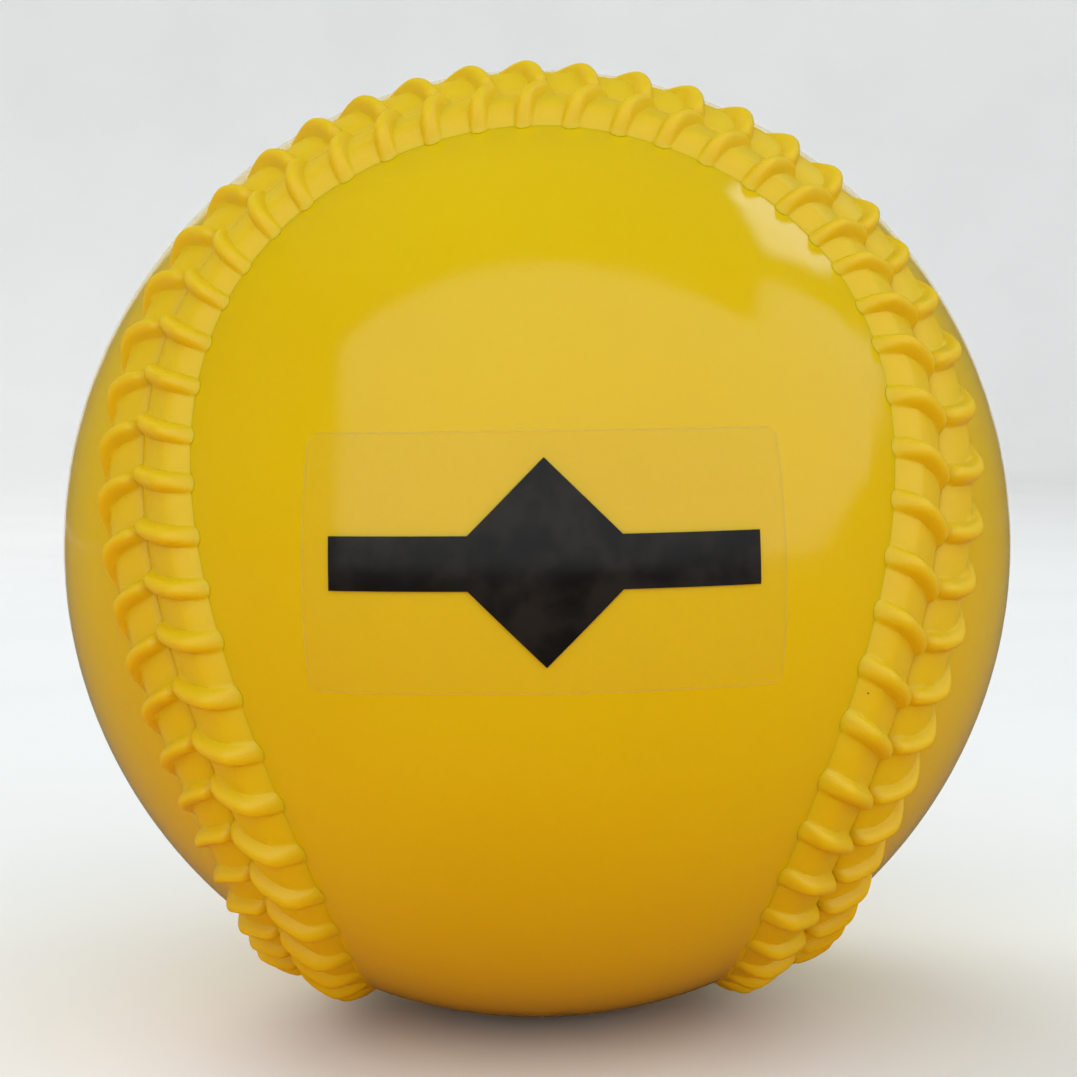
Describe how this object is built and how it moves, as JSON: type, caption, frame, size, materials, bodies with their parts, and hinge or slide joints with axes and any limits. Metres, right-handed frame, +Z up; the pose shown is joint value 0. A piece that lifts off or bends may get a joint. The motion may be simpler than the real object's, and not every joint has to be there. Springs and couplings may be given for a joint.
{
  "type": "limited-flight baseball",
  "caption": "Yellow limited-flight practice baseball with smooth cover panels, raised stitch-ribbed seam welts and a clear film label with a plain printed figure.",
  "frame": {"origin": "centre of the ball", "axes": "+Z up through the middle of the over panel's neck, -Y out through the labelled front lobe, +X out through a lobe of the over panel"},
  "size_m": [0.0726, 0.0732, 0.0728],
  "materials": {
    "foam": "closed-cell foam",
    "cover": "smooth glossy soft vinyl",
    "welt": "satin soft vinyl with a fine grain",
    "film": "clear polyester label film",
    "ink": "black printing ink"
  },
  "bodies": {
    "root": {"foam_core": "foam", "cover_under": "cover", "cover_over": "cover", "welt_under": "welt", "welt_over": "welt", "label_film": "film", "label_print": "ink"}
  },
  "joints": []
}
